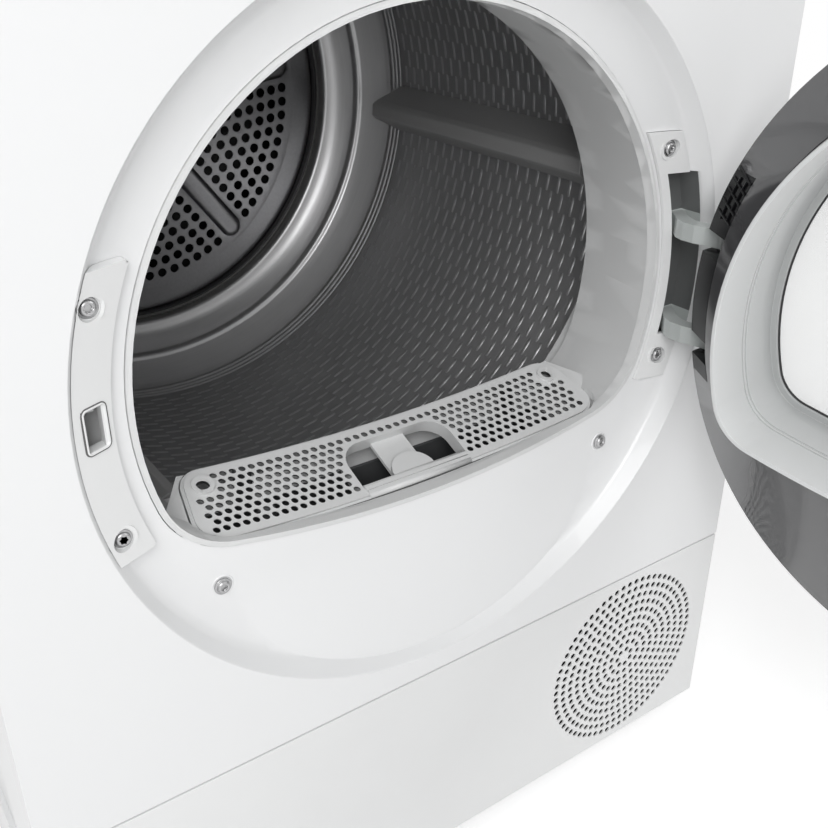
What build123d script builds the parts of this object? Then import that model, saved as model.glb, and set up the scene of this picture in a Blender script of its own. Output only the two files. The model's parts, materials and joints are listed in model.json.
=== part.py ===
"""A front-loading clothes dryer with a round door, heat pump base and lint filter, door open."""

import math
import os

from build123d import *

# Cabinet, in millimetres: x to the right, y into the machine from the front plane, z up
# from the lower edge of the base, which stands FLOOR above the ground on its feet.
WIDTH = 598.0
HEIGHT = 842.0
DEPTH = 600.0
FLOOR = 10.0
SHEET = 1.2
PLINTH_TOP = 185.0
FRONT_LOW = 187.0
FRONT_TOP = 712.0
CONTROL_LOW = 714.0
WORKTOP_LOW = 810.0
REAR_Y = 574.0

# Round recess and D-shaped loading opening in the front panel.
MID_Z = 441.0
RECESS_R = 239.0
RECESS_PATH = [(239.0, 0.0), (237.8, 0.9), (233.0, 10.0), (230.5, 13.2), (226.0, 15.8), (218.0, 18.8),
               (208.0, 21.2), (196.0, 22.0), (90.0, 22.2)]
RAMP_DEPTH = 8.5
RAMP_TOP = 300.0
OPENING_R = 199.0
OPENING_LOW = 328.0
OPENING_SAG_R = 725.0
OPENING_CORNER = 55.0

# Drum, its axis above the middle of the opening.
DRUM_Z = 508.0
DRUM_R = 284.0
DRUM_SHEET = 1.0
REAR_PLATE_R = 219.0

# Door, drawn closed and turned about its hinge axis to the open rest position.
HINGE_X = 216.0
HINGE_Y = -24.0
DOOR_OPEN = 100.0
DOOR_R = 226.0
ARM_RISE = 38.0
ARM_HIGH = 13.0
PIN_R = 3.0
HOUSING_LOW = 383.0
HOUSING_TOP = 531.0

# Lint filter, condensate container and controls.
FILTER_HALF = 166.0
FILTER_SLOPE = 22.0
FILTER_LENGTH = 57.5
FILTER_Y = 35.0
FILTER_Z = 330.0
FILTER_BOW = 1100.0
HOLE_PITCH = 6.95
TANK_X0 = -292.0
TANK_X1 = -128.0
KNOB_X = -20.0
CONTROL_Z = 762.0
GRILLE_X = 196.0
GRILLE_Z = 94.6
GRILLE_R = 80.7


def box(x0, x1, y0, y1, z0, z1):
    size = Box(x1 - x0, y1 - y0, z1 - z0)
    return Pos((x0 + x1) / 2, (y0 + y1) / 2, (z0 + z1) / 2) * size


def frame_box(x0, x1, y0, y1, z0, z1, wall):
    """A pan open towards +y: a front wall with four returns."""
    inner = box(x0 + wall, x1 - wall, y0 + wall, y1 + 5, z0 + wall, z1 - wall)
    return box(x0, x1, y0, y1, z0, z1) - inner


def rod_y(radius, y0, y1, x, z):
    return Pos(x, y1, z) * (Rot(90, 0, 0) * extrude(Circle(radius), y1 - y0))


def rod_z(radius, z0, z1, x, y):
    return Pos(x, y, z0) * extrude(Circle(radius), z1 - z0)


def rod_x(radius, x0, x1, y, z):
    return Pos(x0, y, z) * (Rot(0, 90, 0) * extrude(Circle(radius), x1 - x0))


def slab(face, y0, y1):
    """A face drawn in (x, z) made into a plate from y0 to y1."""
    return Pos(0, y1, 0) * (Rot(90, 0, 0) * extrude(face, y1 - y0))


def poly(points):
    return make_face(Polyline(*points, close=True))


def band(path, thick):
    """A face of even thickness on the outer side of a path in (r, y)."""
    far = []
    for i, (px, py) in enumerate(path):
        normals = []
        for j in (i - 1, i):
            if 0 <= j < len(path) - 1:
                dx = path[j + 1][0] - path[j][0]
                dy = path[j + 1][1] - path[j][1]
                length = math.hypot(dx, dy)
                normals.append((-dy / length, dx / length))
        nx = sum(n[0] for n in normals) / len(normals)
        ny = sum(n[1] for n in normals) / len(normals)
        scale = thick / (nx * nx + ny * ny)
        far.append((px + nx * scale, py + ny * scale))
    return poly(path + far[::-1])


def turned(face, z):
    """A face in (r, y) turned about the line along y at height z."""
    return Pos(0, 0, z) * revolve(face, Axis.Y)


def ring(r0, r1, y0, y1, z):
    return turned(poly([(r0, y0), (r1, y0), (r1, y1), (r0, y1)]), z)


def arc_face(arcs):
    """A face in (x, z) closed by arcs, each given as centre, radius and its end angles."""
    edges = []
    for cx, cz, radius, a, b in arcs:
        spots = [(cx + radius * math.cos(t), cz + radius * math.sin(t)) for t in (a, (a + b) / 2, b)]
        edges.append(ThreePointArc(*spots).edge())
    return make_face(Wire(edges))


def corner_turns():
    """Angles at which the opening's corner arcs meet its upper and lower arcs."""
    rise = OPENING_LOW + OPENING_SAG_R - MID_Z
    far = OPENING_R - OPENING_CORNER
    wide = OPENING_SAG_R - OPENING_CORNER
    z = (far * far - wide * wide + rise * rise) / (2 * rise)
    x = math.sqrt(far * far - z * z)
    return x, MID_Z + z, math.atan2(z, x), math.atan2(z - rise, x)


def d_face(inset):
    """The loading opening's outline in (x, z), drawn in by inset."""
    x, z, up, down = corner_turns()
    low_z = OPENING_LOW + OPENING_SAG_R
    corner = OPENING_CORNER - inset
    return arc_face([
        (0, MID_Z, OPENING_R - inset, up, math.pi - up),
        (-x, z, corner, math.pi - up, math.pi - down),
        (0, low_z, OPENING_SAG_R - inset, -math.pi - down, down),
        (x, z, corner, down, up),
    ])


def d_prism(inset, y0, y1):
    return slab(d_face(inset), y0, y1)


def d_tube(outside, inside, y0, y1):
    return d_prism(outside, y0, y1) - d_prism(inside, y0 - 1, y1 + 1)


def d_taper(inset0, y0, inset1, y1):
    """A solid that tapers between two outlines of the opening."""
    first = Pos(0, y0, 0) * (Rot(90, 0, 0) * d_face(inset0))
    last = Pos(0, y1, 0) * (Rot(90, 0, 0) * d_face(inset1))
    return loft([first.face(), last.face()], ruled=True)


def crescent(side, r0, r1, z0, z1, y0, y1, more, grow=0.0):
    """A plate that follows the sloping edge of the recess on one side."""
    drop = y1 - y0
    thick = 3.5 + more
    y0, y1 = y0 - grow, y1 - grow
    shape = poly([(r0 - grow, y1), (r1 + grow, y0), (r1 + grow, y0 + thick), (r0 - grow, y1 + thick)])
    piece = turned(shape, MID_Z)
    low = box(0, 300, y0 - drop, y1 + 20, z0 - grow, z1 + grow)
    if side < 0:
        low = mirror(low, Plane.YZ)
    return piece & low


def recess_solid(skin):
    """The pressed recess as a solid, skin 0 for its face and the sheet for its back."""
    path = RECESS_PATH
    if skin:
        back = [(r + skin * 0.8, y + skin) for r, y in path]
        face = poly([(0, 0.2)] + [(back[0][0], 0.2)] + back[1:] + [(0, back[-1][1])])
    else:
        face = poly([(0, -3), (RECESS_R, -3)] + path + [(0, 22.2)])
    low = RAMP_DEPTH + skin
    ramp = [(-20, 100), (low, 100), (low, 205), (22.4 + skin, RAMP_TOP), (80, RAMP_TOP), (80, 760),
            (-20, 760)]
    front = Pos(-300, 0, 0) * extrude(Plane.YZ * poly(ramp), 600)
    return turned(face, MID_Z) & front


def front_panel():
    panel = frame_box(-WIDTH / 2, WIDTH / 2, 0, 24, FRONT_LOW, FRONT_TOP, SHEET)
    panel = panel + recess_solid(SHEET)
    panel = panel - recess_solid(0)
    panel = panel - d_prism(0, -10, 60)
    panel = panel - hinge_gap(0.6) - hinge_crescent(0.4)
    panel = panel - box(-232, -218, -5, 40, 434, 468)
    for x, z in LATCH_SCREWS:
        panel = panel - rod_y(8.9, 0, 60, x, z)
    for x, z in FLOOR_SCREWS:
        panel = panel - rod_y(2.6, 0, 60, x, z)
    return panel


def hinge_crescent(grow):
    return crescent(1, 207, 229.5, 360, 548, 12.4, 19, 20 * grow, grow)


def hinge_gap(grow):
    """The arc-shaped opening in the floor of the recess through which the arms come."""
    gap = ring(213 - grow, 234 + grow, -5, 40, MID_Z)
    return gap & box(0, 300, -6, 41, 394.5 - grow, 518 + grow)


def grille_holes():
    holes = []
    for k in range(10):
        radius = GRILLE_R - 8.05 * k
        count = round(2 * math.pi * radius / 7.65)
        for i in range(count):
            turn = 2 * math.pi * (i + 0.5 * (k % 2)) / count
            holes.append((GRILLE_X + radius * math.cos(turn), GRILLE_Z + radius * math.sin(turn)))
    return holes


def pierced(outer, centres, radius):
    """A flat face with round holes."""
    inner = [Pos(x, y) * Circle(radius) for x, y in centres]
    return Face(outer.outer_wire(), [c.face().outer_wire() for c in inner])


def plinth_panel():
    outer = Pos(0, (PLINTH_TOP + 4) / 2) * Rectangle(WIDTH, PLINTH_TOP - 4)
    sheet = slab(pierced(outer.face(), grille_holes(), 2.7), 0, 2.5)
    rim = box(-299, 299, 2.5, 24, 4, PLINTH_TOP) - box(-296.5, 296.5, 2, 25, 6.5, PLINTH_TOP - 2.5)
    return sheet + rim


def side_panel(side):
    skin = box(298, 299, 24.5, REAR_Y, 12, 809)
    field = box(294, 298.5, 80, 520, 90, 720) - box(295, 301, 81, 519, 91, 719)
    edges = box(284, 298, 24.5, 25.5, 12, 809) + box(284, 298, REAR_Y - 1, REAR_Y, 12, 809)
    panel = (skin - box(297, 301, 81, 519, 91, 719)) + field + edges
    return panel if side > 0 else mirror(panel, Plane.YZ)


def rear_panel():
    panel = box(-296, 296, REAR_Y + 0.5, REAR_Y + 1.5, 50, 808)
    panel = panel - rod_y(214, REAR_Y - 2, REAR_Y + 4, 0, DRUM_Z)
    panel = panel - rod_y(8, REAR_Y - 2, REAR_Y + 4, 268, 112)
    for i in range(9):
        panel = panel - box(-250, -130, REAR_Y - 2, REAR_Y + 4, 74 + 12 * i, 79 + 12 * i)
        panel = panel - box(130, 250, REAR_Y - 2, REAR_Y + 4, 74 + 12 * i, 79 + 12 * i)
    return panel


def rear_duct_cover():
    dome = [(232, REAR_Y + 1.5), (222, REAR_Y + 3), (208, REAR_Y + 20), (196, 598.5), (0, 600)]
    cover = turned(poly(dome + [(0, 598.4), (195.4, 597), (206.6, REAR_Y + 19.4)]
                        + [(221, REAR_Y + 1.5)]), DRUM_Z)
    for i in range(8):
        turn = math.radians(22.5 + 45 * i)
        cover = cover - rod_y(2.2, 560, 610, 227 * math.cos(turn), DRUM_Z + 227 * math.sin(turn))
    return cover


def worktop():
    top = box(-299, 299, -2, REAR_Y, WORKTOP_LOW, HEIGHT - FLOOR)
    top = fillet(top.edges().filter_by(Axis.Z), 6)
    return chamfer(top.faces().sort_by(Axis.Z)[-1].edges(), 2)


def base_tray():
    tray = box(-293, 293, 26, 572, 12, 64) - box(-290, 290, 29, 569, 15, 80)
    tray = tray + box(-290, 290, 340, 343, 15, 58) + box(40, 43, 29, 340, 15, 58)
    tray = tray + box(-120, -117, 343, 569, 15, 58) + box(110, 113, 343, 569, 15, 58)
    for x in (-262, 262):
        for y in (60, 532):
            tray = tray + rod_z(17, 8, 50, x, y) - rod_z(6.3, 0, 52, x, y)
    return tray


def leveling_feet():
    feet = []
    for x in (-262, 262):
        for y in (60, 532):
            pad = rod_z(21, -FLOOR, -1, x, y) + rod_z(6, -1, 46, x, y)
            nut = Pos(x, y, 1) * extrude(RegularPolygon(12, 6), 6)
            feet.append(pad + nut)
    return Compound(feet)


def control_panel():
    panel = frame_box(-299, 299, -2, 24, CONTROL_LOW, WORKTOP_LOW - 0.5, 3)
    panel = panel - box(TANK_X0, TANK_X1, -10, 40, 719, 805)
    panel = panel - rod_y(12, -10, 40, KNOB_X, CONTROL_Z)
    panel = panel - box(80, 210, -10, 40, 742, 782)
    for x, z, half in key_places():
        panel = panel - box(x - half - 0.4, x + half + 0.4, -10, 40, z - 5.4, z + 5.4)
    return panel


def key_places():
    return [(-98, CONTROL_Z, 10), (258, CONTROL_Z, 14), (112, 729, 14), (178, 729, 14)]


def key_cap(place):
    x, z, half = place
    cap = fillet(box(x - half, x + half, -4.5, 4, z - 5, z + 5).edges().filter_by(Axis.Y), 2)
    return cap + box(x - 3, x + 3, 4, 20, z - 2, z + 2)


def display_window():
    return box(80, 210, -2.5, 0.5, 742, 782) + box(84, 206, 0.5, 14, 746, 778)


def program_knob():
    body = Pos(KNOB_X, -30, CONTROL_Z) * (Rot(-90, 0, 0) * Cone(25, 27, 26, align=(Align.CENTER,
                                          Align.CENTER, Align.MIN)))
    body = body + rod_y(11.7, -4, 22, KNOB_X, CONTROL_Z)
    for i in range(24):
        turn = 2 * math.pi * i / 24
        body = body - rod_y(1.6, -40, -9, KNOB_X + 27.3 * math.cos(turn),
                            CONTROL_Z + 27.3 * math.sin(turn))
    return body - box(KNOB_X - 1, KNOB_X + 1, -32, -28.8, CONTROL_Z + 8, CONTROL_Z + 27)


def control_board():
    return box(140, 285, 36, 90, 724, 796)


def tank_front():
    face = box(TANK_X0 + 1, TANK_X1 - 1, -4, 8, 720, 804)
    grip = box(TANK_X0 + 26, TANK_X1 - 26, -10, 5, 724, 747)
    return fillet(face.edges().filter_by(Axis.Y), 4) - fillet(grip.edges().filter_by(Axis.Y), 8)


def condensate_tank():
    outline = [(-282, 727), (-205, 757), (-134, 781), (-134, 802), (-282, 802)]
    inner = [(-279.5, 731), (-204, 760), (-136.5, 783), (-136.5, 806), (-279.5, 806)]
    tank = slab(poly(outline), 8, 430) - slab(poly(inner), 11, 427)
    lid = box(-279.5, -136.5, 11, 427, 799.5, 802) - rod_z(16, 790, 810, -230, 380)
    return tank + lid


def tank_guide():
    rail = [(-293, 720), (-204, 753), (-131, 777), (-131, 779.5), (-205, 755.5), (-293, 722.5)]
    return slab(poly(rail), 26, 440) + box(-293, -290, 26, 440, 721, 790)


def filter_pocket(grow, z0, z1):
    return box(-150 - grow, 150 + grow, 44 - grow, 89 + grow, z0, z1)


def front_bulkhead():
    """Moulded wall behind the front panel: throat, filter pocket and drum collar in one."""
    wall = box(-292, 292, 30, 33, 214, 716) - d_prism(-6, 10, 60)
    throat = d_taper(-4, 23.5, -12.3, 101)
    lip = d_tube(-2.6, 2, 23.7, 28.2)
    disc = slab(Pos(0, DRUM_Z) * Circle(250), 98, 101)
    collar = ring(247, 250, 33, 114, DRUM_Z)
    body = wall + throat + disc + collar + filter_pocket(3, 132, 332)
    body = body - d_taper(0.5, 23.4, -9.3, 101.5)
    sill = d_prism(-10, 24.5, 97) & filter_local(bowed(-40, -3))
    for side in (-1, 1):
        corner = [(side * x, y) for x, y in ((157, 87), (204, 22), (230, 22), (230, 110), (157, 110))]
        sill = sill - Pos(0, 0, 300) * extrude(poly(corner), 130)
    body = body + sill + lip - filter_pocket(0, 128, 360) - filter_seat()
    return body - box(-140, 140, 86, 110, 140, 200)


def filter_seat():
    """The room in the sill for the filter's rim, open towards the drum and upwards."""
    room = filter_local(Pos(0, 0, -16) * extrude(filter_outline(3.2), 80))
    return room + box(-165, 165, 86, 103, 336, 400)


def filter_local(shape):
    """Filter top drawn flat in (x, v) with its upper face at 0, laid on its slope."""
    return Pos(0, FILTER_Y, FILTER_Z) * (Rot(FILTER_SLOPE, 0, 0) * shape)


def filter_outline(grow):
    end = FILTER_HALF - 10
    shape = poly([(-FILTER_HALF, 0), (FILTER_HALF, 0), (end, FILTER_LENGTH), (-end, FILTER_LENGTH)])
    shape = fillet(shape.vertices(), 16)
    return offset(shape, grow) if grow else shape


def bowed(low, high):
    """The layer between two heights over the filter's face, which rises towards its ends."""
    layer = Pos(0, FILTER_BOW) * (Circle(FILTER_BOW - low) - Circle(FILTER_BOW - high))
    return slab(layer & (Pos(0, 20) * Rectangle(400, 160)), -25, 85)


def hand_recess():
    return Pos(0, 18) * RectangleRounded(88, 54, 18)


def in_recess(x, v, clear):
    dx = max(abs(x) - 26, 0)
    dv = max(v - 27, 0)
    return math.hypot(dx, dv) < 18 + clear


def in_outline(x, v, clear):
    dx = max(abs(x) - (FILTER_HALF - 18 - 10 * v / FILTER_LENGTH), 0)
    dv = max(16 - v, v - FILTER_LENGTH + 16, 0)
    return math.hypot(dx, dv) < 16 - clear


def filter_holes():
    holes = []
    for row in range(8):
        v = 8.2 + 0.866 * HOLE_PITCH * row
        for col in range(-24, 25):
            x = HOLE_PITCH * (col + 0.5 * (row % 2))
            boss = math.hypot(abs(x) - 146, v - 43.5) < 9.5
            if in_outline(x, v, 5.2) and not boss and not in_recess(x, v, 3.6):
                holes.append((x, v))
    return holes


def filter_top():
    outline = filter_outline(0)
    deep = Pos(0, 0, -30)
    plate = deep * extrude(pierced(outline.face(), filter_holes(), 2.55), 60) & bowed(-2.2, 0)
    skirt = deep * (extrude(outline, 60) - extrude(filter_outline(-2.2), 60)) & bowed(-10, -1)
    flange = deep * (extrude(filter_outline(2.2), 60) - extrude(filter_outline(-1), 60))
    top = plate + skirt + (flange & bowed(-3.8, -1.9)) - deep * extrude(hand_recess(), 60)
    cup = Pos(0, 0, -10) * (extrude(offset(hand_recess(), 2), 9.5) - extrude(hand_recess(), 9.5))
    top = top + (cup & box(-60, 60, 0.5, 60, -20, 20)) + box(-14, 14, 4, 45.5, -9, -6.5)
    tab = Pos(0, 8, -2.6) * extrude(Circle(17), 2.4) & box(-20, 20, 4, 30, -5, 5)
    bar = fillet(box(-43, 43, -2.4, 9.5, -7, 2).edges().filter_by(Axis.X), 3)
    top = top + tab + (bar - box(-44, 44, 3.2, 3.8, 1.2, 3))
    for x in (-146, 146):
        top = top + Pos(x, 43.5, 9.6) * Cylinder(7.5, 5) - Pos(x, 43.5, 9) * Cylinder(4.6, 30)
    return filter_local(top)


def filter_basket():
    rim = box(-147, 147, 46, 87, 300, 322) - box(-143, 143, 49, 84, 298, 324)
    cage = box(-147, 147, 46, 87, 150, 300) - box(-144, 144, 48.5, 84.5, 153, 302)
    for i in range(4):
        x = -142 + 72.5 * i
        cage = cage - box(x, x + 66, 34, 100, 160, 292)
    posts = box(-120, -108, 46, 50, 318, 350) + box(108, 120, 46, 50, 318, 350)
    posts = posts + box(-120, -108, 80, 84.1, 318, 360) + box(108, 120, 80, 84.1, 318, 360)
    return rim + cage + (posts & filter_local(bowed(-60, -2.25)))


def filter_mesh():
    panes = []
    for i in range(4):
        x = -142 + 72.5 * i
        panes.append(box(x, x + 66, 46.6, 47.4, 160, 292))
        panes.append(box(x, x + 66, 85.6, 86.4, 160, 292))
    return Compound(panes)


LATCH_SCREWS = [(-218, 513), (-219, 379)]
HINGE_SCREWS = [(209.5, 377), (197.5, 536)]
FLOOR_SCREWS = [(-160, 314), (160, 314)]
LATCH_SEAT = 9.5
HINGE_SEAT = 17.6
FLOOR_SEAT = 20.9


def screw_seat(plate, places, seat):
    """Round bosses with a sunk seat for each cover screw."""
    for x, z in places:
        plate = plate + rod_y(8.5, seat - 1, seat + 3.5, x, z)
    for x, z in places:
        plate = plate - rod_y(6.5, -5, seat, x, z) - rod_y(2.15, 0, seat + 8, x, z)
    return plate


def latch_cover():
    """A block that fills the curve of the recess, so that the latch sits behind a flat face."""
    cover = crescent(-1, 213, 238, 365, 532, 2, 13, 9) & recess_solid(-0.3)
    cover = cover - box(-231, -219, -5, 40, 436, 461)
    return screw_seat(cover, LATCH_SCREWS, LATCH_SEAT)


def latch_tongue():
    return box(-229.5, -220.5, 17.5, 23, 454, 466)


def hinge_plate():
    return screw_seat(hinge_crescent(0) - hinge_gap(0), HINGE_SCREWS, HINGE_SEAT)


def hinge_bracket():
    """A pocket behind the plate with two fixed, cranked arms that carry the pin."""
    cup = ring(211, 236.5, 24, 29.5, MID_Z) + ring(234.8, 236.5, 9.6, 25, MID_Z)
    cup = cup & box(0, 300, 10, 40, 391, 522)
    bracket = cup - (ring(212.8, 234.8, 10, 28, MID_Z) & box(0, 300, 0, 40, 393, 520))
    for side in (-1, 1):
        z0 = MID_Z + side * ARM_RISE - ARM_HIGH / 2
        bracket = bracket + Pos(0, 0, z0) * extrude(arm_face(), ARM_HIGH)
        bracket = bracket - rod_z(PIN_R + 0.05, z0 - 1, z0 + ARM_HIGH + 1, HINGE_X, HINGE_Y)
    return bracket


def arm_face():
    """An arm seen from above: out of the pocket, a crank, then round the pin."""
    crank = [(221, 28), (233, 28), (221, 13), (216.5, 4), (216, -4), (219, -12), (222, -24),
             (210, -24), (208, -14), (205.5, -6), (205, 4), (207, 11)]
    knuckle = Pos(HINGE_X, HINGE_Y) * Circle(6)
    return fillet(poly(crank).vertices().sort_by(Axis.Y)[2:-2], 2.5) + knuckle


def screw(x, y, z):
    head = rod_y(4.6, y - 2.6, y, x, z) - rod_y(2.0, y - 3.6, y - 1, x, z)
    return head + rod_y(2.1, y, y + 5.4, x, z)


def front_screws():
    screws = [screw(x, LATCH_SEAT, z) for x, z in LATCH_SCREWS]
    screws = screws + [screw(x, HINGE_SEAT, z) for x, z in HINGE_SCREWS]
    return Compound(screws + [screw(x, FLOOR_SEAT, z) for x, z in FLOOR_SCREWS])


def drum_shell():
    """The rolled mantle between the front ring and the rear dish."""
    return ring(DRUM_R, DRUM_R + DRUM_SHEET, 126, 493, DRUM_Z)


def drum_front():
    """Ring seamed to the mantle, its lip running on the front felt."""
    lip = [(259, 104), (260.2, 104), (260.2, 115.2), (285, 123), (285, 126), (284, 126), (284, 123.9), (259, 116)]
    return turned(poly(lip), DRUM_Z)


def drum_rear():
    """Drawn dish seamed to the mantle: a cone, a bead and a hollow down to the rear felt."""
    path = [(284, 493), (281.4, 496.6), (279.6, 499), (262, 518), (258.6, 519.5), (256, 522.4), (252.4, 530)]
    path = path + [(242.6, 538.8), (232.5, 545.2), (229.4, 548.4), (227, 553), (227, 560)]
    return turned(band(path[::-1], DRUM_SHEET), DRUM_Z)


def drum_lifters():
    blades = []
    for turn in (-4, 116, 236):
        shape = [(-24, 283), (24, 283), (10, 250), (6, 244), (-6, 244), (-10, 250)]
        blade = Pos(0, 0, 0) * slab(poly(shape), 150, 470)
        blade = fillet(blade.edges().filter_by(Axis.Y).sort_by(Axis.Z)[:4], 3)
        blade = blade & rod_y(283.6, 100, 500, 0, 0)
        blades.append(Pos(0, 0, DRUM_Z) * (Rot(0, 90 - turn, 0) * blade))
    return Compound(blades)


def rear_bulkhead():
    wall = box(-290, 290, 563, 566, 226, 806) - rod_y(200, 550, 580, 0, DRUM_Z)
    return wall + ring(219, 221, 548, 563, DRUM_Z)


def rear_plate():
    holes = []
    for row in range(-13, 14):
        for col in range(-13, 14):
            x = 16.5 * (col + 0.5 * (row % 2))
            z = 14.3 * row
            radius = math.hypot(x, z)
            clear = all(abs(x * math.sin(a) - z * math.cos(a)) > 15 or x * math.cos(a)
                        + z * math.sin(a) < 0 for a in bead_turns())
            if radius < 196 and (clear or radius > 184) and radius > 40:
                holes.append((x, DRUM_Z + z))
    disc = (Pos(0, DRUM_Z) * Circle(REAR_PLATE_R)).face()
    plate = slab(pierced(disc, holes, 4.0), 557, 558)
    for a in bead_turns():
        bead = Pos(112, 0) * SlotOverall(136, 18)
        bead = Pos(0, DRUM_Z) * (Rot(0, 0, math.degrees(a)) * bead)
        plate = plate + slab(bead, 553.5, 557)
    return plate


def bead_turns():
    return [math.radians(a) for a in (-12, 48, 108, 168, 228, 288)]


def front_seal():
    return ring(250, 258.2, 104.5, 113.5, DRUM_Z)


def rear_seal():
    return ring(221, 226.4, 553.5, 560.5, DRUM_Z)


def roller_places():
    reach = DRUM_R + DRUM_SHEET + 0.4 + 22
    return [(s * reach * math.sin(math.radians(34)), DRUM_Z - reach * math.cos(math.radians(34)))
            for s in (-1, 1)]


def support_roller(place):
    x, z = place
    tyre = rod_y(22, 470, 486, x, z) - rod_y(5.05, 460, 490, x, z)
    groove = turned(poly([(14, 469), (19, 469), (19, 472), (14, 472)]), 0)
    return tyre - Pos(x, 0, z) * groove


def roller_axles():
    axles = []
    for x, z in roller_places():
        axle = rod_y(5, 464, 563, x, z) + rod_y(9, 488, 563, x, z) + rod_y(8, 462, 468.5, x, z)
        axles.append(axle)
    return Compound(axles)


MOTOR_X = 205.0
MOTOR_Z = 118.0
BELT_Y = 330.0
PULLEY_R = 11.0


def belt_face(grow):
    """Outline round the drum and the motor pulley, in (x, z)."""
    big = DRUM_R + DRUM_SHEET + 0.4 + grow
    small = PULLEY_R + 0.4 + grow
    dx, dz = MOTOR_X, MOTOR_Z - DRUM_Z
    span = math.hypot(dx, dz)
    lean = math.acos((big - small) / span)
    aim = math.atan2(dz, dx)
    one = [(big * math.cos(aim + s * lean), DRUM_Z + big * math.sin(aim + s * lean)) for s in (-1, 1)]
    two = [(MOTOR_X + small * math.cos(aim + s * lean), MOTOR_Z + small * math.sin(aim + s * lean))
           for s in (-1, 1)]
    quad = poly([one[0], two[0], two[1], one[1]])
    return (Pos(0, DRUM_Z) * Circle(big)) + quad + (Pos(MOTOR_X, MOTOR_Z) * Circle(small))


def drive_belt():
    return slab(belt_face(1.8), BELT_Y, BELT_Y + 9) - slab(belt_face(0), BELT_Y - 1, BELT_Y + 10)


def drive_motor():
    can = rod_y(58, 362, 452, MOTOR_X, MOTOR_Z) - rod_y(9, 350, 460, MOTOR_X, MOTOR_Z)
    foot = box(MOTOR_X - 62, MOTOR_X + 62, 372, 442, 15, 60)
    return can + (foot - rod_y(57, 350, 460, MOTOR_X, MOTOR_Z))


def motor_rotor():
    shaft = rod_y(7, 318, 530, MOTOR_X, MOTOR_Z) + rod_y(PULLEY_R, 326, 343, MOTOR_X, MOTOR_Z)
    wheel = rod_y(62, 524, 526, MOTOR_X, MOTOR_Z) + rod_y(16, 480, 524, MOTOR_X, MOTOR_Z)
    for i in range(18):
        turn = 20 * i
        blade = Rot(0, turn, 0) * (Pos(54, 0, 0) * (Rot(0, 30, 0) * box(-8, 8, 486, 524.5, -0.8, 0.8)))
        wheel = wheel + Pos(MOTOR_X, 0, MOTOR_Z) * blade
    return shaft + wheel


def fan_housing():
    shell = rod_y(78, 474, 552, MOTOR_X, MOTOR_Z) + box(MOTOR_X - 78, MOTOR_X - 20, 474, 552, 118, 216)
    room = rod_y(74, 478, 548, MOTOR_X, MOTOR_Z) + box(MOTOR_X - 74, MOTOR_X - 24, 478, 548, 118, 220)
    return shell - room - rod_y(40, 470, 480, MOTOR_X, MOTOR_Z)


def compressor():
    can = rod_z(58, 52, 178, 165, 220) + rod_z(46, 178, 188, 165, 220)
    foot = box(100, 230, 160, 280, 15, 22) + rod_z(40, 22, 52, 165, 220)
    return can + foot


def coil_block(y0, y1):
    block = box(-270, 20, y0, y1, 15, 196)
    fins = []
    for i in range(24):
        fins.append(box(-268 + 12 * i, -259 + 12 * i, y0 - 1, y1 + 1, 60, 192))
    for fin in fins:
        block = block - fin
    return block


def evaporator():
    return coil_block(122, 196)


def condenser():
    return coil_block(208, 318)


def pipe(points, radius, bend):
    line = FilletPolyline(*points, radius=bend)
    start = Plane(origin=line @ 0, z_dir=line % 0)
    return sweep(start * Circle(radius), path=line)


def refrigerant_pipes():
    first = pipe([(22, 160, 170), (60, 160, 170), (60, 160, 206), (165, 160, 206), (165, 205, 206),
                  (165, 205, 189)], 4, 12)
    second = pipe([(22, 290, 110), (80, 290, 110), (80, 290, 204), (165, 290, 204), (165, 240, 204),
                   (165, 240, 189)], 4, 12)
    return Compound([first, second])


def module_cover():
    shell = box(-282, 34, 112, 326, 64, 204) - box(-279, 31, 108, 323, 60, 201)
    return shell - box(28, 40, 140, 310, 80, 180)


def condensate_pump():
    body = rod_z(34, 15, 78, -200, 450) + rod_z(22, 78, 112, -200, 450)
    return body + rod_x(7, -250, -200, 450, 60)


def pump_hose():
    return pipe([(-250.2, 450, 60), (-280, 450, 60), (-280, 540, 60), (-280, 540, 788),
                 (-230, 540, 788), (-230, 431, 788)], 6.5, 14)


def cord_gland():
    bush = rod_y(11, REAR_Y + 1.5, 592, 268, 112) + rod_y(8, 567, REAR_Y + 1.5, 268, 112)
    return bush - rod_y(4.2, 560, 600, 268, 112)


def door_back(inset, y0, y1, radius):
    """Frustum from the round rim to the D-shaped plug."""
    up = corner_turns()[2]
    low = math.atan2(OPENING_LOW + 12 - MID_Z, 120)
    turns = [up, math.pi - up, math.pi - low, 2 * math.pi + low, 2 * math.pi + up]
    disc = arc_face([(0, MID_Z, radius, a, b) for a, b in zip(turns, turns[1:])])
    lens = d_face(inset)
    first = Pos(0, y0, 0) * (Rot(90, 0, 0) * disc)
    last = Pos(0, y1, 0) * (Rot(90, 0, 0) * lens)
    return loft([first.face(), last.face()], ruled=True)


def hinge_notch():
    """The part of the rim taken up by the hinge housing."""
    sector = ring(206, 240, -41, 60, MID_Z)
    return sector & box(100, 260, -42, 61, HOUSING_LOW, HOUSING_TOP)


def door_frame():
    front = turned(poly([(0, -54), (214, -54), (220, -50), (DOOR_R, -16), (DOOR_R, -12), (0, -12)]), MID_Z)
    room = turned(poly([(0, -46), (214, -46), (221, -17), (0, -17)]), MID_Z)
    body = front + door_back(15.5, -12, 22, DOOR_R)
    body = body - room - door_back(19, -17.2, 18, 221)
    body = body - d_prism(15.5, -50.5, 60) - rod_y(208, -60, -50, 0, MID_Z)
    return body - hinge_notch() - hook_shape()


def door_outer_pane():
    return turned(poly([(0, -57), (150, -55.5), (207.6, -53), (207.6, -50), (0, -50)]), MID_Z)


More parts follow.
